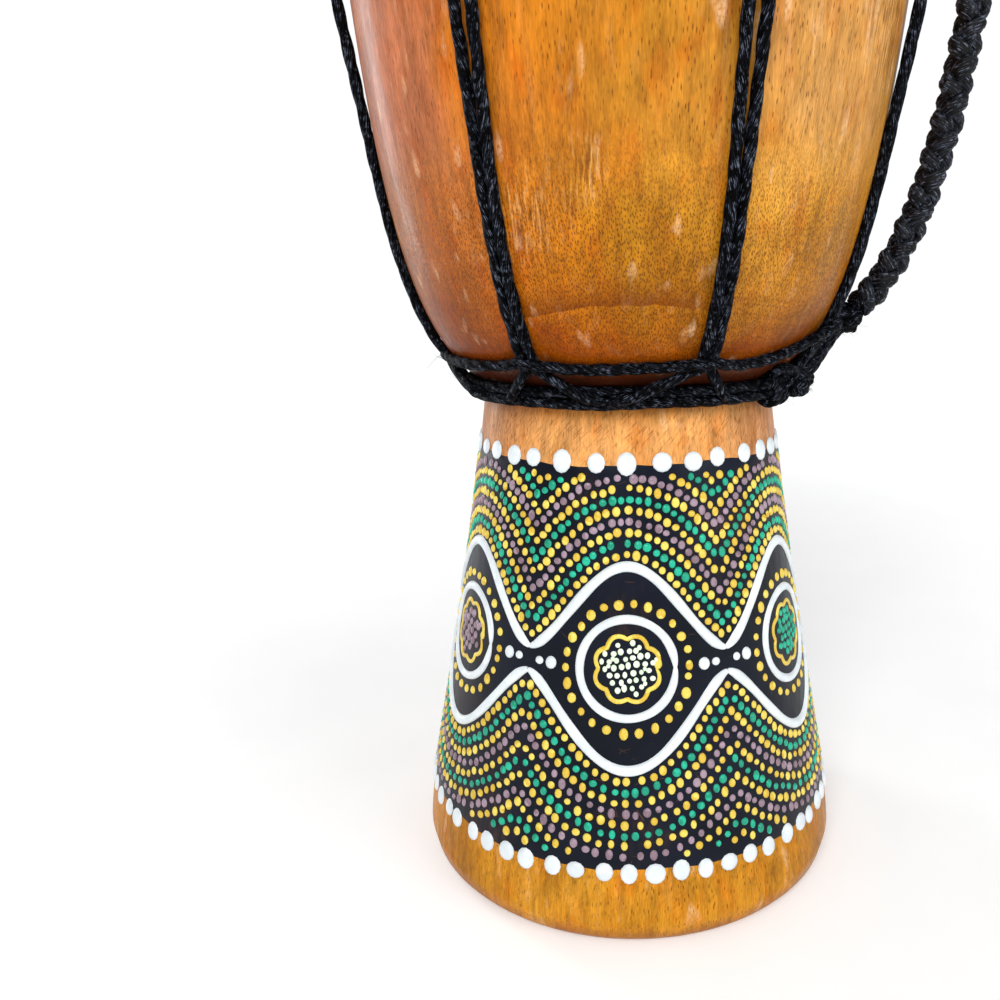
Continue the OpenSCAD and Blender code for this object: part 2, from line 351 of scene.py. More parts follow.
def grid_faces(rows, columns, wrap_rows=False, wrap_columns=True):
    faces = []
    for i in range(rows if wrap_rows else rows - 1):
        for j in range(columns if wrap_columns else columns - 1):
            a, b = i * columns, (i + 1) % rows * columns
            k = (j + 1) % columns
            faces.append((a + j, a + k, b + k, b + j))
    return faces


def lathe(build, outline, kind=0, cap=False):
    """Turns an outline of [radius, height] points round Z, and closes its start if asked."""
    az = np.arange(SEGMENTS) * 360 / SEGMENTS
    faces = grid_faces(len(outline), SEGMENTS) + [tuple(range(SEGMENTS))] * cap
    build.add(at(outline[:, :1], az, outline[:, 1:]), faces, kind=kind)


# ---- rope

def add_rope(build, route, radius, lobes=3, lay=34.0, groove=0.2, sides=21, closed=False,
             facing=None, wide=1.0, taper=0.0):
    """A laid rope: its section has a lobe for each strand, and turns once in each lay.
    With facing, a direction at each point, it is flattened that way and wide times as wide across.
    With taper, a length, its far end thins over that length."""
    route = np.asarray(route, float)
    tangent, n, b = frames_along(route, closed)
    if facing is not None:
        n = unit(facing - np.sum(facing * tangent, 1)[:, None] * tangent)
        b = np.cross(tangent, n)
    far = steps_along(route)
    total = far[-1] + (np.linalg.norm(route[0] - route[-1]) if closed else 0)
    turns = math.copysign(max(1, round(abs(total / lay))), lay)
    phase = rng.uniform(0, 6.28)
    twist = 2 * math.pi * turns * far / total + phase
    angle = np.arange(sides) * 2 * math.pi / sides
    around = angle + twist[:, None]
    shape = np.abs(np.cos(lobes * angle / 2)) ** 0.75
    swell = 2 * math.pi * far / total
    wobble = (1 + 0.035 * np.sin(max(1, round(total / 33)) * swell + phase)
              + 0.03 * np.sin(max(1, round(total / 13)) * swell + 2 * phase))
    if taper:
        wobble = wobble * np.clip((total - far) / taper + 0.45, 0, 1)
    r = radius * wobble[:, None] * (1 - groove + groove * shape)
    out = np.cos(around)[..., None] * n[:, None] + wide * np.sin(around)[..., None] * b[:, None]
    points = route[:, None] + r[..., None] * out
    grain = np.stack(np.broadcast_arrays(
        radius * np.cos(angle), radius * np.sin(angle), far[:, None] * 0.07 + phase * 9), -1)
    faces = grid_faces(len(route), sides, wrap_rows=closed)
    if not closed:
        faces.append(tuple(range(sides))[::-1])
        faces.append(tuple((len(route) - 1) * sides + k for k in range(sides)))
    build.add(points, faces, grain)


def add_knot(build, centre, radius, rope, turns):
    """A round knot: turns of rope wound over each other on a ball."""
    centre = np.array(centre)
    for k in range(turns):
        axis = unit(any_way())
        u = unit(np.cross(axis, [0.3, 0.9, 0.2]))
        v = np.cross(axis, u)
        a = np.linspace(0, 2 * math.pi, 40, endpoint=False)[:, None]
        inner = radius - rope
        lift = inner * (1 - 0.16 * np.cos(2 * a + k))
        tilt = inner * 0.22 * np.sin(3 * a + 2 * k)
        add_rope(build, centre + lift * (np.cos(a) * u + np.sin(a) * v) + tilt * axis, rope,
                 lay=16, sides=18, closed=True)


def add_hair(build, start, direction, length, thick=0.09):
    """One loose fibre that stands out of a rope."""
    bend = any_way() * 0.6
    t = np.linspace(0, 1, 6)[:, None]
    line = start + length * (t * direction + t * t * bend)
    _, n, b = frames_along(line)
    size = thick * (1 - 0.6 * t)
    ring = [line + size * (math.cos(a) * n + math.sin(a) * b) for a in (0, 2.09, 4.19)]
    build.add(np.stack(ring, 1), grid_faces(6, 3))


# ---- materials

class Nodes:
    """Short calls that add nodes to one material."""

    def __init__(self, name):
        self.material = bpy.data.materials.new(name)
        self.material.use_nodes = True
        self.tree = self.material.node_tree
        self.tree.nodes.clear()

    def node(self, kind, settings=(), **inputs):
        made = self.tree.nodes.new("ShaderNode" + kind)
        for key, value in dict(settings).items():
            setattr(made, key, value)
        for key, value in inputs.items():
            self.put(made, key.replace("_", " "), value)
        return made

    def put(self, made, key, value):
        socket = made.inputs[int(key)] if key.isdigit() else made.inputs[key]
        if isinstance(value, bpy.types.NodeSocket):
            self.tree.links.new(value, socket)
        elif isinstance(value, tuple) and len(value) == 3 and socket.type == "RGBA":
            socket.default_value = (*value, 1)
        else:
            socket.default_value = value

    def place(self, scale=1.0):
        """Object coordinates in millimetres, times one scale or one for each axis."""
        source = self.node("TexCoord").outputs["Object"]
        scale = scale if isinstance(scale, tuple) else (scale,) * 3
        return self.node("Mapping", Vector=source, Scale=tuple(s / METRE for s in scale)).outputs[0]

    def grain(self, scale):
        """Coordinates along and round a rope."""
        source = self.node("Attribute", {"attribute_name": "grain"}).outputs["Vector"]
        return self.node("Mapping", Vector=source, Scale=scale).outputs[0]

    def flat(self, x, y):
        return self.node("CombineXYZ", X=x, Y=y).outputs[0]

    def noise(self, vector, detail=3.0, rough=0.5, distort=0.0, scale=1.0):
        return self.node("TexNoise", Vector=vector, Scale=scale, Detail=detail, Roughness=rough,
                         Distortion=distort).outputs[0]

    def cloud(self, scale, detail=3.0, rough=0.5, distort=0.0):
        """Noise in the object's coordinates."""
        return self.noise(self.place(scale), detail, rough, distort)

    def cells(self, vector, output="Distance", **settings):
        """Voronoi cells of size 1."""
        return self.node("TexVoronoi", settings, Vector=vector, Scale=1.0).outputs[output]

    def ramp(self, fac, *stops):
        made = self.node("ValToRGB", Fac=fac)
        ramp = made.color_ramp
        while len(ramp.elements) < len(stops):
            ramp.elements.new(0.5)
        for element, (place, colour) in zip(ramp.elements, stops):
            element.position = place
            element.color = (*colour, 1) if isinstance(colour, tuple) else (colour, colour, colour, 1)
        return made.outputs[0]

    def height_ramp(self, z, *stops):
        """A ramp whose stops are heights in millimetres."""
        return self.ramp(self.math("DIVIDE", z, TOTAL_HEIGHT),
                         *[(stop / TOTAL_HEIGHT, colour) for stop, colour in stops])

    def side_shade_ramp(self, az, front, sides):
        """0 up to the azimuth front, and 1 beyond the azimuth sides, on the left and the right. It masks
        painted shade.
        """
        away = self.math("DIVIDE", self.math("ABSOLUTE", az), 180)
        return self.ramp(away, (front / 180, 0.0), (sides / 180, 1.0))

    def mix(self, fac, a, b, blend="MIX"):
        made = self.node("Mix", {"data_type": "RGBA", "blend_type": blend})
        self.put(made, "0", fac)
        self.put(made, "6", a)
        self.put(made, "7", b)
        return made.outputs[2]

    def stain_and_painted_light(self, colour, where, share, laid_colour):
        """The colour, and as much of the laid colour as the share where it shows. It lays stains, and
        painted shade and sheen too.
        """
        return self.mix(self.times(where, share), colour, laid_colour)

    def math(self, operation, *values):
        """The operation on the first value, or on the first two, then with each further value."""
        result = values[0]
        for value in values[1:] or (0.0,):
            made = self.node("Math", {"operation": operation})
            self.put(made, "0", result)
            self.put(made, "1", value)
            result = made.outputs[0]
        return result

    def plus(self, *values):
        return self.math("ADD", *values)

    def times(self, *values):
        return self.math("MULTIPLY", *values)

    def most(self, *values):
        return self.math("MAXIMUM", *values)

    def bump(self, height, strength, distance, normal=None):
        made = self.node("Bump", Height=height, Strength=strength, Distance=distance * METRE)
        if normal is not None:
            self.put(made, "Normal", normal)
        return made.outputs[0]

    def surface(self, **inputs):
        shader = self.node("BsdfPrincipled", **inputs)
        out = self.node("OutputMaterial")
        self.tree.links.new(shader.outputs[0], out.inputs[0])
        return self.material


def wall_place(n):
    """Azimuth in degrees from -Y towards +X, and height in millimetres."""
    parts = n.node("SeparateXYZ", Vector=n.place())
    turn = n.math("ARCTAN2", parts.outputs["X"], n.times(parts.outputs["Y"], -1.0))
    return n.times(turn, 180 / math.pi), parts.outputs["Z"]


def waver(n, value, scale, reach):
    """The value moved to and fro, so that a border drawn on it isn't even."""
    return n.plus(value, n.times(n.math("SUBTRACT", n.cloud(scale, 3, 0.6), 0.5), reach))


def spot(n, az, z, centre_az, centre_z, wide, tall):
    """1 at a centre, falling to 0 at its reach across and up."""
    across = n.math("DIVIDE", n.math("SUBTRACT", az, centre_az), wide)
    up = n.math("DIVIDE", n.math("SUBTRACT", z, centre_z), tall)
    far = n.math("SQRT", n.plus(n.times(across, across), n.times(up, up)))
    return n.ramp(far, (0.15, 1.0), (1.0, 0.0))


def pores(n, scale, low, high):
    """The wood's vessels, cut open. They run along Z."""
    return n.ramp(n.cells(n.place(scale)), (low, 1.0), (high, 0.0))


def lacquer_tone(n, az, z):
    """The lacquer's colour round the drum, golden on the foot; painted shade darkens the crease and the
    sides of the ring and base.
    """
    around = n.math("DIVIDE", n.plus(waver(n, az, (0.022, 0.022, 0.012), 30), 180), 360)
    # Colour by azimuth, partly painted sheen on the right side
    tone = n.ramp(around, *[((a + 180) / 360, colour) for a, colour in TONES])
    # Painted shade: the bowl's underside darker towards the crease
    low = n.height_ramp(waver(n, z, (0.03, 0.03, 0.05), 14),
                        (195, 0.0), (202.5, 1.0), (218, 0.90), (232.5, 0.45), (260, 0.0))
    tone = n.mix(low, tone, CREASE_SHADE_TONE)
    # Painted shade: the bare ring and the foot's base darker towards their left and right sides
    sides = n.side_shade_ramp(az, 28.8, 48.6)
    ring = n.mix(sides, (0.64, 0.288, 0.084), (0.50, 0.215, 0.074))
    tone = n.mix(n.height_ramp(z, (192.5, 1.0), (200, 0.0)), tone, ring)
    base = n.mix(sides, (0.52, 0.215, 0.013), (0.43, 0.165, 0.005))
    return n.mix(n.height_ramp(z, (35, 1.0), (60, 0.0)), tone, base)


def uneven(n, colour):
    """The colour with streaks and clouds that are darker, paler, redder or greyer."""
    mottle = n.cloud((0.055, 0.055, 0.030), 6, 0.68, 0.3)
    streak = n.cloud((0.40, 0.40, 0.014), 4, 0.6)
    fibre = n.cloud((2.2, 2.2, 0.05), 2)
    shade = n.plus(n.times(mottle, 1.55), n.times(streak, 1.10), n.times(fibre, 0.95), -0.80)
    colour = n.mix(1.0, colour, shade, "MULTIPLY")
    hue = n.cloud((0.10, 0.10, 0.045), 4, 0.6)
    colour = n.mix(n.ramp(hue, (0.34, 0.8), (0.48, 0.0)), colour, (0.95, 0.72, 0.45), "MULTIPLY")
    return n.mix(n.ramp(hue, (0.52, 0.0), (0.68, 0.8)), colour, (1.05, 1.14, 1.35), "MULTIPLY")


def growth_lines(n, az, z):
    """Where the bowl's underside cuts the growth layers: broad bands that are dark down to a
    sharp edge, in three places round the drum, and thin lines between them."""
    turn = n.times(az, math.pi / 180)
    wave = n.times(n.math("COSINE", n.times(turn, 4.0)), GROWTH_WAVE)
    level = waver(n, n.math("SUBTRACT", z, wave), 0.06, 4)
    step = n.math("FRACT", n.math("DIVIDE", n.plus(level, GROWTH_SHIFT), GROWTH_STEP))
    place = n.math("COSINE", n.plus(n.times(turn, 3.0), 0.3))
    broad = n.times(n.ramp(step, (0.0, 1.0), (0.10, 0.75), (0.40, 0.0)),
                    n.ramp(place, (0.0, 0.1), (0.6, 1.0)))
    layers = n.noise(n.node("CombineXYZ", Z=n.times(level, 0.42)).outputs[0], 3, 0.7)
    drawn = n.most(broad, n.ramp(layers, (0.53, 0.0), (0.57, 0.5), (0.61, 0.0)))
    here = n.height_ramp(z, (200, 0.0), (212.5, 0.8), (235, 1.0), (243, 0.45), (255, 0.0))
    return n.times(drawn, here)


def wood_pores(n, az, z, low_down):
    """Long pores all over, in some places fewer, and short ones low down on the bowl."""
    few = n.ramp(n.cloud((0.03, 0.03, 0.02), 2), (0.35, 0.45), (0.60, 1.0))
    long_pores = n.times(pores(n, (1.0, 1.0, 0.21), 0.15, 0.27), few)
    across = n.plus(n.math("DIVIDE", az, DOT_WIDE), n.times(z, 0.12))
    dots = n.cells(n.flat(across, n.math("DIVIDE", z, DOT_TALL)), voronoi_dimensions="2D")
    return n.most(long_pores, n.times(n.ramp(dots, (0.16, 1.0), (0.34, 0.0)), low_down))


def slant_grain(n, az, z):
    """Short slanting marks on the bare ring above the painted band."""
    lean = n.flat(n.plus(n.times(az, 0.95), n.times(z, -0.85)), n.times(n.plus(z, az), 0.10))
    marks = n.ramp(n.noise(lean, 2, 0.5, scale=1.25), (0.56, 0.0), (0.66, 1.0))
    return n.times(marks, n.height_ramp(z, (176, 0.4), (185, 1.0), (197.5, 1.0), (201, 0.0)))


def scraper_cuts(n, az, z):
    """Marks of a scraper that chattered: dark cuts, and the pale ones beside them."""
    cuts = n.noise(n.flat(n.times(az, 1.7), n.times(z, 0.10)), 2, 0.6)
    ragged_az = waver(n, az, (0.1, 0.1, 0.03), 12)
    ragged_z = waver(n, z, (0.6, 0.6, 0.03), 16)
    patch = n.most(*[spot(n, ragged_az, ragged_z, *where) for where in CHATTER])
    dark = n.times(n.ramp(cuts, (0.52, 0.0), (0.58, 1.0)), patch)
    pale = n.times(n.ramp(cuts, (0.40, 1.0), (0.46, 0.0)), patch)
    return dark, pale


def rubbed_spots_and_sheen_runs(n, az, z):
    """Pale spots where the lacquer is rubbed, and pale runs in it that are partly painted sheen, a streaky
    reflection gathered on the right side.
    """
    spots = n.ramp(n.cloud((0.15, 0.15, 0.055), 1.5), (0.64, 0.0), (0.78, 1.0))
    worn = n.ramp(n.cloud((1.3, 1.3, 0.7), 3, 0.6), (0.38, 0.25), (0.56, 1.0))
    # Pale runs, partly painted sheen: streaks of reflection, most of them on the right side
    runs_and_sheen = n.ramp(n.cloud((0.26, 0.26, 0.026), 2), (0.58, 0.0), (0.74, 1.0))
    here = n.most(spot(n, az, z, *SHEEN_RUNS_AT), SHEEN_RUNS_ELSEWHERE)
    return n.most(n.times(spots, worn), n.times(runs_and_sheen, worn, here))


def lacquered_wood():
    n = Nodes("lacquered_wood")
    az, z = wall_place(n)
    colour = uneven(n, lacquer_tone(n, az, z))
    colour = n.stain_and_painted_light(colour, growth_lines(n, az, z), 0.85, (0.16, 0.036, 0.002))
    low_down = n.height_ramp(z, (200, 0.0), (202.5, 1.0), (260, 1.0), (290, 0.0))
    colour = n.mix(low_down, colour, (1.09, 1.10, 0.50), "MULTIPLY")
    # Painted shade: the lower bowl darker on its left and right sides
    low_side_shade = n.times(low_down, n.side_shade_ramp(az, 27, 43.2))
    colour = n.mix(low_side_shade, colour, (0.80, 0.69, 0.30), "MULTIPLY")
    pore = wood_pores(n, az, z, low_down)
    colour = n.stain_and_painted_light(colour, pore, 0.75, (0.095, 0.020, 0.002))
    colour = n.stain_and_painted_light(colour, slant_grain(n, az, z), 0.55, (0.24, 0.075, 0.015))
    dark_cut, pale_cut = scraper_cuts(n, az, z)
    colour = n.stain_and_painted_light(colour, dark_cut, 0.65, (0.10, 0.024, 0.004))
    colour = n.stain_and_painted_light(colour, pale_cut, 0.42, (0.78, 0.46, 0.18))
    # Rubbed spots, and pale runs that are partly painted sheen
    colour = n.stain_and_painted_light(colour, rubbed_spots_and_sheen_runs(n, az, z), 0.50, (0.86, 0.58, 0.33))
    # Painted shade in the crease under the ropes, and a worn bottom edge
    crease = n.height_ramp(z, (197.75, 0.0), (200, 1.0), (210, 1.0), (214.25, 0.0))
    colour = n.stain_and_painted_light(colour, crease, 0.93, (0.040, 0.009, 0.004))
    edge = n.height_ramp(waver(n, z, 0.09, 9), (2, 0.75), (8, 0.0))
    colour = n.mix(edge, colour, (0.26, 0.09, 0.02))
    scuff = n.cloud((0.35, 0.35, 0.05), 4, 0.65)
    wave = n.cloud((0.035, 0.035, 0.020), 2)
    normal = n.bump(wave, 0.5, 1.2)
    normal = n.bump(n.times(pore, -1.0), 0.35, 0.12, normal)
    normal = n.bump(n.math("SUBTRACT", pale_cut, dark_cut), 0.5, 0.3, normal)
    normal = n.bump(scuff, 0.25, 0.08, normal)
    return n.surface(Base_Color=colour, Roughness=n.ramp(scuff, (0.35, 0.26), (0.7, 0.46)),
                     Normal=normal, Coat_Weight=n.height_ramp(z, (210, 0.02), (300, 0.14)),
                     Coat_Roughness=0.14, Coat_Normal=n.bump(wave, 0.5, 1.0),
                     Specular_IOR_Level=0.06)


def bare_wood():
    n = Nodes("bare_wood")
    streak = n.cloud((0.22, 0.22, 0.006), 5, 0.6)
    base = n.ramp(streak, (0.3, (0.30, 0.125, 0.045)), (0.7, (0.50, 0.24, 0.10)))
    mottle = n.cloud((0.03, 0.03, 0.02), 4, 0.6)
    colour = n.mix(n.ramp(mottle, (0.4, 0.0), (0.7, 0.5)), base, (0.16, 0.06, 0.02))
    pore = pores(n, (0.9, 0.9, 0.15), 0.08, 0.24)
    colour = n.stain_and_painted_light(colour, pore, 0.6, (0.08, 0.03, 0.01))
    normal = n.bump(n.cloud((0.05, 0.05, 0.12), 2), 0.8, 1.5)
    normal = n.bump(streak, 0.4, 0.2, normal)
    return n.surface(Base_Color=colour, Roughness=0.72, Normal=normal)


def band_paint():
    n = Nodes("black_band_paint")
    colour = n.ramp(n.cloud(0.03), (0.35, (0.0020, 0.0024, 0.0042)), (0.65, (0.0050, 0.0065, 0.0130)))
    grain = n.cloud((0.5, 0.5, 0.02), 4, 0.6)
    worn_here = n.ramp(n.cloud((0.025, 0.025, 0.035)), (0.56, 0.0), (0.70, 1.0))
    worn = n.times(worn_here, n.ramp(grain, (0.45, 0.15), (0.62, 1.0)))
    colour = n.stain_and_painted_light(colour, worn, 0.6, (0.060, 0.026, 0.012))
    crack = n.cells(n.place((0.05, 0.05, 0.075)), feature="DISTANCE_TO_EDGE")
    some = n.ramp(n.cloud(0.14, 2), (0.60, 0.0), (0.66, 1.0))
    scratch = n.times(n.ramp(crack, (0.0, 1.0), (0.004, 0.0)), some)
    colour = n.stain_and_painted_light(colour, scratch, 0.8, (0.22, 0.09, 0.03))
    normal = n.bump(n.cloud((0.10, 0.10, 0.9), 4, 0.6), 0.25, 0.15)
    normal = n.bump(grain, 0.30, 0.10, normal)
    return n.surface(Base_Color=colour, Roughness=n.ramp(grain, (0.3, 0.30), (0.7, 0.48)),
                     Normal=normal, Specular_IOR_Level=0.15, Specular_Tint=(0.62, 0.72, 1.0),
                     Coat_Weight=0.06, Coat_Roughness=0.20)


def dot_paint(name, dark, light):
    """Thick glossy paint, a little uneven from dab to dab."""
    n = Nodes(name)
    tone = n.node("SeparateColor", Color=n.cells(n.place(0.22), "Color")).outputs[0]
    blend = n.plus(n.times(tone, 0.6), n.times(n.cloud(0.9), 0.4))
    normal = n.bump(n.cloud(0.6, 2), 0.35, 0.25)
    return n.surface(Base_Color=n.ramp(blend, (0.2, dark), (0.8, light)), Roughness=0.32,
                     Normal=normal, Coat_Weight=0.35, Coat_Roughness=0.08, Specular_IOR_Level=0.2)


def black_rope(name="black_rope", gloss=0.03, lift=1.0):
    """Black fibre, with painted sheen: the bluish tops of its strands and its pale streaks are painted
    glints. Lift makes them brighter.
    """
    n = Nodes(name)
    strands = n.noise(n.grain((1.9, 1.9, 2.2)), 4, 0.65)
    fibre = n.noise(n.grain((3.4, 3.4, 4.5)), 2, 0.6)
    # Painted sheen: the pale bluish colour at the top of the strands' ramp
    pale = tuple(lift * x for x in (0.013, 0.016, 0.026))
    colour = n.ramp(strands, (0.45, (0.0002, 0.0002, 0.0003)), (0.55, (0.0010, 0.0011, 0.0018)),
                    (0.67, pale))
    # Painted glints: pale bluish streaks along the fibres, in patches
    glint_share = n.ramp(n.cloud(0.55, 2), (0.45, 0.0), (0.60, 0.28 + 0.07 * lift))
    streak = n.times(n.ramp(fibre, (0.55, 0.0), (0.62, 1.0)), glint_share)
    colour = n.mix(streak, colour, (0.30, 0.35, 0.47))
    normal = n.bump(strands, 0.8, 0.45)
    normal = n.bump(fibre, 0.6, 0.18, normal)
    return n.surface(Base_Color=colour, Roughness=0.46, Normal=normal, Specular_IOR_Level=gloss)


def goat_skin():
    n = Nodes("goat_skin")
    cloud = n.cloud((0.022, 0.014, 0.02), 5, 0.6, 0.6)
    colour = n.ramp(cloud, (0.30, (0.48, 0.33, 0.19)), (0.5, (0.68, 0.55, 0.38)),
                    (0.72, (0.80, 0.71, 0.55)))
    spots = n.cells(n.place(0.75))
    colour = n.mix(n.ramp(spots, (0.08, 0.35), (0.22, 0.0)), colour, (0.30, 0.19, 0.10))
    # The darker line of the animal's back
    off_back = n.math("ABSOLUTE", n.node("SeparateXYZ", Vector=n.place(0.01)).outputs["X"])
    back = n.ramp(n.plus(off_back, n.times(cloud, 0.5)), (0.2, 0.5), (0.5, 0.0))
    colour = n.mix(back, colour, (0.36, 0.23, 0.12))
    normal = n.bump(n.cloud(0.12, 5, 0.6), 0.4, 0.5)
    normal = n.bump(spots, 0.2, 0.12, normal)
    return n.surface(Base_Color=colour, Roughness=0.55, Normal=normal, Subsurface_Weight=0.12,
                     Subsurface_Radius=(0.9, 0.5, 0.25), Subsurface_Scale=0.002)


def hoop_iron():
    n = Nodes("painted_iron")
    chips = n.cloud(0.25, 4, 0.7)
    colour = n.ramp(chips, (0.45, (0.012, 0.012, 0.013)), (0.62, (0.03, 0.028, 0.028)),
                    (0.72, (0.12, 0.05, 0.025)))
    return n.surface(Base_Color=colour, Roughness=n.ramp(chips, (0.4, 0.35), (0.7, 0.8)),
                     Metallic=0.4, Normal=n.bump(chips, 0.4, 0.2))


def glowing_floor_paper():
    """Pale paper that grows brighter away from the drum, into a plain white backdrop: it glows, and the
    glow is painted light.
    """
    n = Nodes("glowing_floor_paper")
    fine = n.cloud(0.02)
    colour = n.ramp(fine, (0.3, (0.86, 0.86, 0.86)), (0.7, (0.89, 0.89, 0.89)))
    away = n.node("VectorMath", {"operation": "LENGTH"}, Vector=n.place(0.0004)).outputs["Value"]
    # Painted light: the paper's emission grows with the distance from the drum
    return n.surface(Base_Color=colour, Roughness=0.85, Normal=n.bump(fine, 0.05, 0.2),
                     Emission_Color=(1, 1, 1), Emission_Strength=n.ramp(away, (0.10, 0.20), (0.50, 0.63)))


# ---- camera and strap

def make_camera():
    pitch, yaw, roll = (math.radians(a) for a in (CAMERA_PITCH, CAMERA_YAW, CAMERA_ROLL))
    forward = np.array([math.sin(yaw) * math.cos(pitch), math.cos(yaw) * math.cos(pitch), math.sin(pitch)])
    level = np.array([math.cos(yaw), -math.sin(yaw), 0])
    above = np.cross(level, forward)
    right = level * math.cos(roll) + above * math.sin(roll)
    up = -level * math.sin(roll) + above * math.cos(roll)
    camera = bpy.data.objects.new("camera", bpy.data.cameras.new("camera"))
    bpy.context.scene.collection.objects.link(camera)
    matrix = Matrix.Identity(4)
    for k, axis in enumerate((right, up, -forward)):
        matrix.col[k][:3] = [float(x) for x in axis]
    matrix.col[3][:3] = CAMERA_AT
    camera.matrix_world = matrix
    camera.data.lens = CAMERA_LENS
    camera.data.sensor_width = 36
    camera.data.shift_x = CAMERA_SHIFT
    camera.data.clip_start = 0.01
    bpy.context.scene.camera = camera


def strap_line():
    return smooth_line([at(r, STRAP_AZ, z) for r, z in STRAP_ROUTE])[:-STRAP_CLEAR]


def make_strap(rope):
    """Four strands plaited round: two turn one way and two the other, over and under."""
    line = strap_line()
    tangent = unit(np.gradient(line, axis=0))
    across = at(0, STRAP_AZ, 0, 1.0)
    out = np.cross(tangent, across)
    far = np.linspace(0, 1, len(line)) * np.linalg.norm(np.diff(line, axis=0), axis=1).sum()
    turn = 2 * math.pi * far / BRAID_PITCH
    build = Build()
    middle = STRAP_R + 0.2 - STRAND_THICK - STRAND_RISE
    for way in (1, -1):
        for half in (0, math.pi):
            angle = way * turn + half + 0.5
            away = np.cos(angle)[:, None] * across + np.sin(angle)[:, None] * out
            r = middle + way * STRAND_RISE * np.cos(2 * turn)
            add_rope(build, line + r[:, None] * away, STRAND_THICK, lobes=5, lay=52 * way, groove=0.13,
                     sides=30, facing=away, wide=STRAND_WIDE / STRAND_THICK)
    strap = build.piece("strap_braid", [rope], ["strap"], body="strap")


def make_neck(rope):
    """The plait's strands drawn together where they go into the upper knot. It lies close to
    the line that the strap turns about, so it stays in the knot."""
    line = strap_line()
    knot = at(*KNOT_HIGH)
    inside_knot = [mix(line[-1], knot, t) for t in (0.4, 0.75)]
    route = smooth_line([line[-1 - NECK_START], line[-1], *inside_knot], 0.6)
    build = Build()
    add_rope(build, route, NECK_R, lobes=4, lay=20, groove=0.24, sides=24, taper=11)
    build.piece("strap_neck", [rope], body="strap")


# ---- shell and head

def arc(centre, radius, degrees):
    return [(centre[0] + radius * math.cos(a), centre[1] + radius * math.sin(a))
            for a in np.radians(degrees)]


def make_shell(outside, inside):
    rim = arc(RIM_CENTRE, RIM_ROUND, range(0, 91, 15))
    outer = np.vstack([BASE_EDGE, bezier(FOOT_OUT, 70), bezier(BOWL_OUT, 110)[1:], rim[1:],
                       [RIM_INNER]])
    inner = np.vstack([[RIM_INNER], bezier(BOWL_IN, 70)[::-1], bezier(FOOT_IN, 60)[::-1][1:],
                       BASE_EDGE[:1]])
    build = Build()
    lathe(build, outer)
    lathe(build, inner, kind=1)
    build.piece("carved_shell", [outside, inside], ["shell"])


def make_band(paint):
    """The black coat on the foot, with edges as a brush leaves them."""
    columns, rows = 360, 90
    az = np.arange(columns) * 360 / columns
    a = np.radians(az)
    low = BAND_LOW + ripple(a, (0.35, 5, 1), (0.25, 13, 0), (0.15, 29, 2))
    high = BAND_HIGH + ripple(a, (0.4, 4, 0), (0.25, 11, 2), (0.15, 31, 0))
    t = np.linspace(0, 1, rows)[:, None]
    z = low + (high - low) * t
    ease = np.minimum(1, np.minimum(t, 1 - t) * rows / 1.5)
    r = foot_r(z) - 0.1 + (BAND_LIFT + 0.1) * np.sqrt(ease)
    build = Build()
    build.add(at(r, az, z), grid_faces(rows, columns))
    build.piece("painted_band", [paint])


def make_head(hide):
    """The hide over the rim, rolled round the flesh hoop, with a wrinkled collar above it."""
    az = np.arange(SEGMENTS) * 360 / SEGMENTS
    a = np.radians(az)
    flesh = bowl_r(FLESH_Z) + 2 * TOUCH + SKIN_T + FLESH_ROD
    shut = SKIN_T + TOUCH
    top = [(r, RIM_TOP + shut) for r in np.linspace(0.5, RIM_CENTRE[0], 40)]
    turn = arc(RIM_CENTRE, RIM_ROUND + shut, range(75, -1, -15))
    side = [(bowl_r(z) + shut, z) for z in np.linspace(RIM_CENTRE[1] - 3, FLESH_Z + 3, 24)]
    roll = arc((flesh, FLESH_Z), FLESH_ROD + shut, range(160, 421, 20))
    collar = [(bowl_r(z) + 2 * SKIN_T + 2 * TOUCH, z) for z in np.linspace(FLESH_Z + 6, COLLAR_Z, 16)]
    build = Build()
    lathe(build, np.array(top + turn + side), cap=True)
    line = np.array(roll + collar)
    lift = np.clip((line[:, 1] - FLESH_Z - 12) / 18, 0, 1)[:, None] * (line[:, :1] < flesh)
    pleat = np.abs(np.sin(10.5 * a + 0.7 * np.sin(3 * a))) ** 3 + 0.5 * np.abs(np.sin(23 * a + 1)) ** 4
    r = line[:, :1] + lift * (0.3 + 1.5 * pleat)
    z = line[:, 1:] + lift * ripple(a, (1.2, 7, 0), (0.9, 17, 1), (0.5, 41, 0))
    inner = at(r[-6:] - 0.9, az, z[-6:])[::-1]
    points = np.concatenate([at(r, az, z), inner])
    build.add(points, grid_faces(len(points), SEGMENTS))
    head = build.piece("hide_head", [hide], ["drum_skin"])


# ---- lacing

def bump(az, centre, width):
    return np.exp(-((np.abs((az - centre + 540) % 360 - 180)) / width) ** 2)


def near_pair(az):
    return np.max([bump(az, lace, 7) for lace in LACE_AZ], axis=0)


def belt_height(az):
    return 213 + 1.5 * near_pair(az) + 12 * bump(az, 78, 24)


CROWN_R = bowl_r(CROWN_Z) + TOUCH + 2 * SKIN_T + CROWN_WRAP + 2 * ROPE_R + TOUCH + 0.2
CROWN_LOOP = CROWN_WRAP + ROPE_R + TOUCH
CROWN_OUT = CROWN_R + CROWN_LOOP


def lace_r(z):
    low = lie_r(TANGENT_Z, OFF_WOOD)
    straight = mix(low, CROWN_OUT, (z - TANGENT_Z) / (CROWN_Z - TANGENT_Z))
    return np.where(z > TANGENT_Z, straight, lie_r(z, OFF_WOOD))


def lace_side(z):
    apart = mix(PAIR_TOUCH, PAIR_SPREAD, (z - MERGE_Z) / (CROWN_Z - MERGE_Z))
    return np.where(z > MERGE_Z, apart, PAIR_TOUCH)


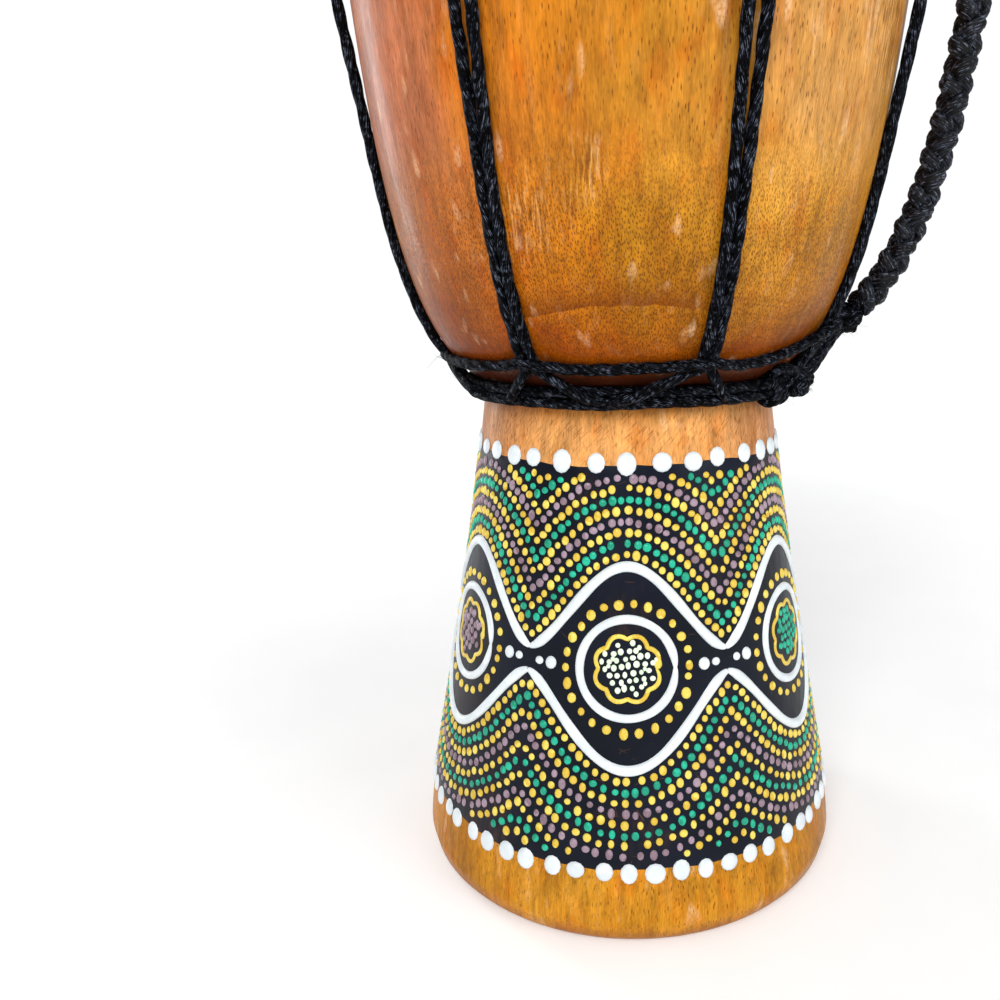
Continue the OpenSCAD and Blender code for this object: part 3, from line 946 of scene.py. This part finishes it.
def make_lacing(rope):
    for i, az in enumerate(LACE_AZ):
        build = Build()
        bottom = belt_height(az) - 3
        z = np.linspace(bottom, CROWN_Z, 40)
        for side in (-1, 1):
            drift = 0.25 * np.sin(z / 31 + i + side)
            route = at(lace_r(z), az, z, side * lace_side(z) + drift)
            add_rope(build, smooth_line(route, 1.0), ROPE_R * 1.02, lay=38 * side, groove=0.24)
        build.piece(f"lacing_rope_{i + 1}", [rope], [f"lacing_pair_{i + 1}"])


def leg_route(az, side, spread):
    top = belt_height(az) - 2
    points = []
    for t in np.linspace(0, 1, 7):
        z = mix(top, CREASE_Z, t)
        straight = mix(lie_r(top, OFF_WOOD), LEG_OUT, t)
        r = max(straight, lie_r(z, OFF_WOOD)) if z > CREASE_Z + 4 else straight
        points.append(at(r, az + side * mix(LEG_TOP_SPREAD, spread, t), z))
    reach = 1 if spread > STEEP_LEG else 0.35
    for turn, inward, drop in LEG_TUCK:
        points.append(at(LEG_OUT + inward, az + side * (spread + reach * turn), CREASE_Z + drop))
    return smooth_line(points, 0.9)


def make_waist(rope):
    build = Build()
    for az, spreads in zip(LACE_AZ, LEG_SPREAD):
        for side, spread in zip((-1, 1), spreads):
            add_rope(build, leg_route(az, side, spread), ROPE_R, lay=30 * side, taper=4)
    build.piece("waist_loop_rope", [rope], ["waist_loops"])
    build = Build()
    az = np.arange(0, 360, 1.0)
    a = np.radians(az)
    for k, (r, z) in enumerate(WAIST_TURNS):
        wander = ripple(a, (0.25, 3, k), (0.2, 8, 2 * k))
        add_rope(build, at(r, az, z + wander), 2.05, lay=28, groove=0.26, closed=True)
    build.piece("waist_turn_rope", [rope], ["waist_turns"])
    build = Build()
    z = belt_height(az)
    under = 1 - 0.85 * bump(az, BELT_UNDER, 22)
    r = lie_r(z, OFF_WOOD) + BELT_RIDE * near_pair(az) * under
    add_rope(build, at(r, az, z + 0.3 * np.sin(9 * a)), 2.1, lay=24, groove=0.28, closed=True)
    build.piece("belt_rope_laid", [rope], ["belt_rope"])


def crown_loop(az):
    """The middle line of a turn of rope round the crown hoop."""
    turn = np.linspace(0, 2 * math.pi, 44, endpoint=False)
    return at(CROWN_R + CROWN_LOOP * np.cos(turn), az, CROWN_Z + CROWN_LOOP * np.sin(turn))


def make_whipping(whipping):
    """Dark cord wound round the crown hoop, one lobe for each turn."""
    ring = WRAPS * 5
    sides = 14
    az = np.arange(ring)[:, None] * 360 / ring
    b = np.arange(sides) * 2 * math.pi / sides
    lobe = np.abs(np.cos(np.radians(az) * WRAPS / 2 + b[None, :] / 2)) ** 0.8
    size = CROWN_WRAP - 0.42 + 0.45 * lobe
    points = at(CROWN_R + size * np.cos(b), az, CROWN_Z + size * np.sin(b))
    grain = np.stack(np.broadcast_arrays(np.cos(b) * 4, np.sin(b) * 4, az * 0.6), -1)
    build = Build()
    build.add(points, grid_faces(ring, sides, wrap_rows=True), grain)
    build.piece("crown_whipping", [whipping], ["crown_wrap"])


def make_crown_loops(rope):
    build = Build()
    spread = math.degrees(math.asin(PAIR_SPREAD / CROWN_R))
    across = np.linspace(-PAIR_SPREAD - 0.5, PAIR_SPREAD + 0.5, 12)
    drop = 0.6 * (across / PAIR_SPREAD) ** 2
    for lace in LACE_AZ:
        for side in (-1, 1):
            add_rope(build, crown_loop(lace + side * spread), ROPE_R, lay=13, closed=True)
        bar = at(CROWN_OUT + 2 * ROPE_R - 0.3 - drop, lace, CROWN_Z, across)
        add_rope(build, bar, ROPE_R, lay=20)
    build.piece("crown_loop_rope", [rope], ["crown_loops"])
    build = Build()
    for side in (-1, 1):
        add_rope(build, crown_loop(STRAP_AZ + side * 1.1), ROPE_R, lay=13, closed=True)
    build.piece("strap_tie_crown", [rope], ["strap_tie_high"])


def make_knots(rope):
    for name, node, (r, az, z), size in (
        ("strap_knot_waist_end", "strap_knot_low", KNOT_LOW, KNOT_R),
        ("strap_knot_crown_end", "strap_knot_high", KNOT_HIGH, KNOT_R),
        ("waist_knot_wound", "waist_knot", WAIST_KNOT, WAIST_KNOT_R),
    ):
        build = Build()
        add_knot(build, at(r, az, z), size, END_R, 7)
        build.piece(name, [rope], [node])


def make_rope_ends(rope):
    """The winding beside the waist knot, the loose ends and the strands by the strap's tie."""
    build = Build()
    turn = np.linspace(0, 2 * math.pi * WHIP_TURNS, 26 * WHIP_TURNS)
    az = np.linspace(*WHIP_AZ, len(turn))
    coil = at(WHIP_AT[0] + WHIP_HALF[0] * np.cos(turn), az, WHIP_AT[1] + WHIP_HALF[1] * np.sin(turn))
    add_rope(build, coil, END_R, lay=18, groove=0.24)
    for tip in ROPE_ENDS:
        route = smooth_line([at(*p) for p in tip])
        add_rope(build, route, END_R, lay=20, groove=0.24, taper=3)
    build.piece("waist_whipping", [rope])
    build = Build()
    for side in (-1, 1):
        points = [at(r, az, z + side * TIE_HALF_GAP) for r, az, z in TIE_ROUTE]
        add_rope(build, smooth_line(points), ROPE_R, lay=22 * side, groove=0.22)
    build.piece("strap_tie_waist", [rope], ["strap_tie_low"])


def make_fibres(rope):
    """Loose fibres along the belt and waist ropes, more of them at the front and the knot."""
    build = Build()
    for _ in range(260):
        az = rng.choice((rng.uniform(0, 360), rng.uniform(50, 85), rng.uniform(-40, -15)))
        z = float(belt_height(az)) if rng.random() < 0.55 else rng.uniform(199, 205)
        r = float(lie_r(z, OFF_WOOD) + 4 * near_pair(az)) if z > 206 else 65.5
        out = at(1, az, 0) + any_way(0.9)
        add_hair(build, at(r + 1.2, az, z), unit(out), rng.uniform(2.5, 6.5))
    for _ in range(45):
        out = unit(at(1, WAIST_KNOT[1], 0) + any_way())
        add_hair(build, at(*WAIST_KNOT) + out * 4.5, out, rng.uniform(1.5, 3.5), 0.07)
    build.piece("loose_fibres", [rope])


# ---- painting on the foot

# Places on the unrolled foot that paint already takes, each with its reach
taken = []


def claim(points, radius):
    for p in points:
        taken.append((p[0], p[1], radius))


def free(x, y, radius):
    if not taken:
        return True
    t = np.array(taken)
    dx = (t[:, 0] - x + PANEL / 2) % PANEL - PANEL / 2
    return bool(np.all(np.hypot(dx, t[:, 1] - y) > t[:, 2] + radius + 0.3))


def add_dots(build, dots, height):
    """Domed dots at (x, y, half width, half height) on the foot."""
    rings = ((1.0, 0.0), (0.93, 0.5), (0.7, 0.86), (0.38, 1.0), (0.0, 1.03))
    sides = 12
    angle = np.arange(sides) * 2 * math.pi / sides
    for x, y, wide, tall in dots:
        points = []
        squeeze = 1 + 0.06 * math.sin(x * 7.1 + y)
        for share, rise in rings:
            ring = angle if share else angle[:1]
            z = y + share * tall * squeeze * np.sin(ring)
            reach = share * wide / squeeze * np.cos(ring)
            az = x / MM_PER_DEG + np.degrees(reach / foot_r(z))
            points.append(at(foot_r(z) + BAND_LIFT - 0.05 + height * min(wide, tall) * rise, az, z))
        faces = grid_faces(len(rings) - 1, sides)
        top = (len(rings) - 1) * sides
        faces += [(top - sides + k, top - sides + (k + 1) % sides, top) for k in range(sides)]
        build.add(np.vstack(points), faces)


def add_line(build, line, width, height, drop):
    """A raised line of paint. It thins at its ends, and starts in a blob if drop is given."""
    far = steps_along(line)
    ends = np.minimum(1, np.minimum(far + 0.5, far[-1] - far + 0.5) / 6)
    size = width * (0.25 + 0.75 * np.sqrt(ends)) * (1 + 0.06 * np.sin(far / 3.7))
    if drop:
        size = np.maximum(size, drop * np.exp(-((far - 1.5) / 2.2) ** 2))
        size[0] *= 0.4
    across = np.array([-1, -0.85, -0.5, 0, 0.5, 0.85, 1])
    rise = np.array([0, 0.55, 0.9, 1, 0.9, 0.55, 0])
    flat = line[:, None] + left_of(line)[:, None] * (across[None, :, None] * size[:, None, None] / 2)
    z = flat[..., 1]
    scale = foot_r(z) * math.pi / 180 / MM_PER_DEG
    aside = (flat[..., 0] - line[:, None, 0]) / scale
    az = (line[:, None, 0] + aside) / MM_PER_DEG
    r = foot_r(z) + BAND_LIFT - 0.05 + rise[None, :] * height * np.minimum(1, size[:, None] / width)
    build.add(at(r, az, z), grid_faces(len(line), 7, wrap_columns=False))


def row_dots(line, spacing, size):
    """Dots along a line, where there is room."""
    dots = []
    last = None
    for x, y in line:
        if last is not None and math.hypot(x - last[0], y - last[1]) < spacing:
            continue
        if not ROWS_WITHIN[0] < y < ROWS_WITHIN[1]:
            continue
        dot = size * rng.uniform(0.84, 1.14)
        if free(x, y, dot):
            px = x + rng.uniform(-0.4, 0.4)
            py = y + rng.uniform(-0.4, 0.4)
            dots.append((px, py, dot, dot * rng.uniform(0.92, 1.28)))
            claim([(px, py)], size)
            last = (x, y)
    return dots


def offset_line(base, away):
    """The line beside base, on its left, without the parts that fold back over it."""
    moved = base + away * left_of(base)
    gaps = np.hypot(*np.moveaxis(moved[:, None] - base[None, :], -1, 0)).min(1)
    return moved[gaps > away - 0.15]


def inside(x, y, polygon):
    hit = False
    for (ax, ay), (bx, by) in zip(polygon, np.roll(polygon, -1, 0)):
        if (ay > y) != (by > y) and x < (bx - ax) * (y - ay) / (by - ay) + ax:
            hit = not hit
    return hit


def fill_dots(polygon, spacing, size):
    """Dots packed in slanting rows inside a shape."""
    dots = []
    low, high = polygon.min(0), polygon.max(0)
    rows = int((high[1] - low[1]) / spacing) + 2
    for i in range(rows):
        y = low[1] + i * spacing * 0.93
        x = low[0] + (i % 2) * spacing / 2
        while x < high[0]:
            px = x + rng.uniform(-0.3, 0.3)
            py = y + 1.2 * math.sin(x / 7) + rng.uniform(-0.3, 0.3)
            dot = size * rng.uniform(0.85, 1.12)
            within = FILL_WITHIN[0] < py < FILL_WITHIN[1] and inside(px, py, polygon)
            if within and free(px, py, dot * 0.8):
                dots.append((px, py, dot, dot * rng.uniform(0.95, 1.25)))
                if rng.random() < MERGED:
                    dots.append((px + 0.45 * spacing, py + 0.4 * spacing, dot * 0.85, dot * 0.9))
            x += spacing
    claim([d[:2] for d in dots], size)
    return dots


def circle(x, reach, count=60):
    """A circle of a cell's medallion, with one reach or one for each point."""
    angle = np.linspace(0, 2 * math.pi, count)
    return np.stack([x + reach * np.cos(angle), MIDDLE + reach * np.sin(angle)], -1)


def wave(start, end, side, step=0.8):
    """The wave above the cells, or the one below them with side -1."""
    x = np.linspace(start, end, 160)
    share = (0.5 + 0.5 * np.cos(2 * math.pi * x / CELL_WIDE)) ** CELL_ROUND
    return smooth_line(np.stack([x, MIDDLE + side * mix(CELL_NECK, CELL_HALF, share)], -1), step)


# Each paint's darkest and lightest colour
PAINTS = {
    "white": ((0.63, 0.69, 0.72), (0.74, 0.79, 0.81)),
    "yellow": ((0.62, 0.40, 0.030), (0.80, 0.64, 0.11)),
    "green": ((0.002, 0.25, 0.15), (0.008, 0.45, 0.28)),
    "mauve": ((0.20, 0.13, 0.16), (0.35, 0.25, 0.31)),
    "cream": ((0.62, 0.80, 0.55), (0.82, 0.93, 0.72)),
}


def design_panel():
    """The painted pattern of half the foot's circumference: raised lines as route, width and
    starting blob, and dots, both by colour."""
    lines = {"white": [], "yellow": []}
    middles = [k * CELL_WIDE for k in range(CELLS)]
    scallop = 1 - SCALLOP_DEEP * (1 - np.abs(np.sin(np.linspace(0, SCALLOPS * math.pi, 160))))
    for x in middles:
        for side in (-1, 1):
            lines["white"].append((wave(x - CELL_WIDE / 2, x + CELL_WIDE / 2, side), WAVE_WIDTH, 0))
        lines["white"].append((smooth_line(circle(x, RING_R)), RING_WIDTH, 0))
        lines["yellow"].append((smooth_line(circle(x, SCALLOP_R * scallop, 160)), FINE, BLOB))
    for colour in lines:
        for line, width, _ in lines[colour]:
            claim(line, width / 2)
    dots = {colour: [] for colour in PAINTS}
    for x, (colour, spacing, size) in zip(middles, FILLS):
        dots[colour] += fill_dots(circle(x, SCALLOP_R), spacing, size)
        dots["yellow"] += row_dots(smooth_line(circle(x, BEADS_R), 0.25), 5.5, 1.6)
        for side in (-1, 1):
            dots["white"] += [(x + side * away, MIDDLE, size, size) for away, size in NECK_DOTS]
    for side in (-1, 1):
        base = wave(0, PANEL, side, 0.25)[::side]
        for k in range(ROWS):
            colour = ROW_COLOURS[k % len(ROW_COLOURS)]
            dots[colour] += row_dots(offset_line(base, 4.3 + 3.9 * k), 3.75, 1.4)
    return lines, dots


def edge_dots(count, z):
    """The white dots along an edge of the painted band."""
    ring = []
    for k in range(count):
        az = (k + rng.uniform(-0.13, 0.13)) * 360 / count
        size = rng.uniform(3.25, 3.85)
        height = z + rng.uniform(-0.5, 0.5)
        ring.append((az * MM_PER_DEG, height, size, size * rng.uniform(0.95, 1.1)))
    return ring


def make_painting():
    lines, dots = design_panel()
    for colour, (dark, light) in PAINTS.items():
        build = Build()
        for turn in (0, PANEL):
            for line, width, drop in lines.get(colour, []):
                add_line(build, line + [turn, 0], width, 0.34 * width, drop)
            panel = [(x + turn, y, wide, tall) for x, y, wide, tall in dots.get(colour, [])]
            add_dots(build, panel, 0.5)
        if colour == "white":
            for count, z in ((33, BAND_HIGH + 0.4), (56, BAND_LOW - 0.4)):
                add_dots(build, edge_dots(count, z), 0.32)
        build.piece(f"painting_{colour}", [dot_paint(f"paint_{colour}", dark, light)])


# ---- stage

def add_light(name, place, target, size, power):
    light = bpy.data.objects.new(name, bpy.data.lights.new(name, "AREA"))
    light.data.shape = "RECTANGLE"
    light.data.size, light.data.size_y = size
    light.data.energy = power
    bpy.context.scene.collection.objects.link(light)
    light.location = place
    aim = Matrix.Identity(3)
    back = unit(np.array(place) - np.array(target))
    side = unit(np.cross([0, 0, 1], back))
    for k, axis in enumerate((side, np.cross(back, side), back)):
        aim.col[k] = [float(x) for x in axis]
    light.rotation_euler = aim.to_euler()


def make_stage():
    n = 96
    angle = np.arange(n) * 2 * math.pi / n
    outline = [(r, 0.0) for r in (0.001, 0.5, 1.0, 2.0, 4.0, 8.0)]
    points = [(r * math.cos(a), r * math.sin(a), z) for r, z in outline for a in angle]
    mesh = bpy.data.meshes.new("floor")
    mesh.from_pydata(points, [], grid_faces(len(outline), n) + [tuple(range(n))])
    mesh.materials.append(glowing_floor_paper())
    floor = bpy.data.objects.new("floor", mesh)
    bpy.context.scene.collection.objects.link(floor)
    world = bpy.data.worlds.new("studio")
    bpy.context.scene.world = world
    world.use_nodes = True
    tree = world.node_tree
    back = tree.nodes["Background"]
    back.inputs["Color"].default_value = (0.97, 0.98, 1.0, 1)
    seen = tree.nodes.new("ShaderNodeLightPath")
    level = tree.nodes.new("ShaderNodeMapRange")
    level.inputs["To Min"].default_value = 0.46
    level.inputs["To Max"].default_value = 1.04
    tree.links.new(seen.outputs["Is Camera Ray"], level.inputs["Value"])
    tree.links.new(level.outputs["Result"], back.inputs["Strength"])
    add_light("key", (-0.25, -1.6, 1.3), (0, 0, 0.25), (1.0, 1.0), 26)
    add_light("fill", (1.3, -1.0, 0.8), (0, 0, 0.25), (0.9, 1.2), 9)
    add_light("edge", (-1.0, 0.70, 0.6), (0, 0, 0.3), (0.25, 1.2), 4)
    bpy.context.scene.view_settings.view_transform = "Standard"


make_camera()
ROPE = black_rope()
# The strap's rope: more gloss, and three times the painted sheen on its strands
STRAP_ROPE = black_rope("strap_rope", 0.16, 3.0)
make_strap(STRAP_ROPE)
make_shell(lacquered_wood(), bare_wood())
make_band(band_paint())
make_head(goat_skin())
make_lacing(ROPE)
make_waist(ROPE)
make_whipping(black_rope("crown_whipping"))
make_crown_loops(ROPE)
make_knots(ROPE)
make_rope_ends(ROPE)
make_fibres(ROPE)
make_painting()
make_neck(STRAP_ROPE)
IRON = hoop_iron()
for name in ("flesh_hoop", "crown_hoop", "waist_hoop"):
    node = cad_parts[name]
    if node.material_slots:
        for holder in node.material_slots:
            holder.material = IRON
    else:
        node.data.materials.append(IRON)
make_stage()
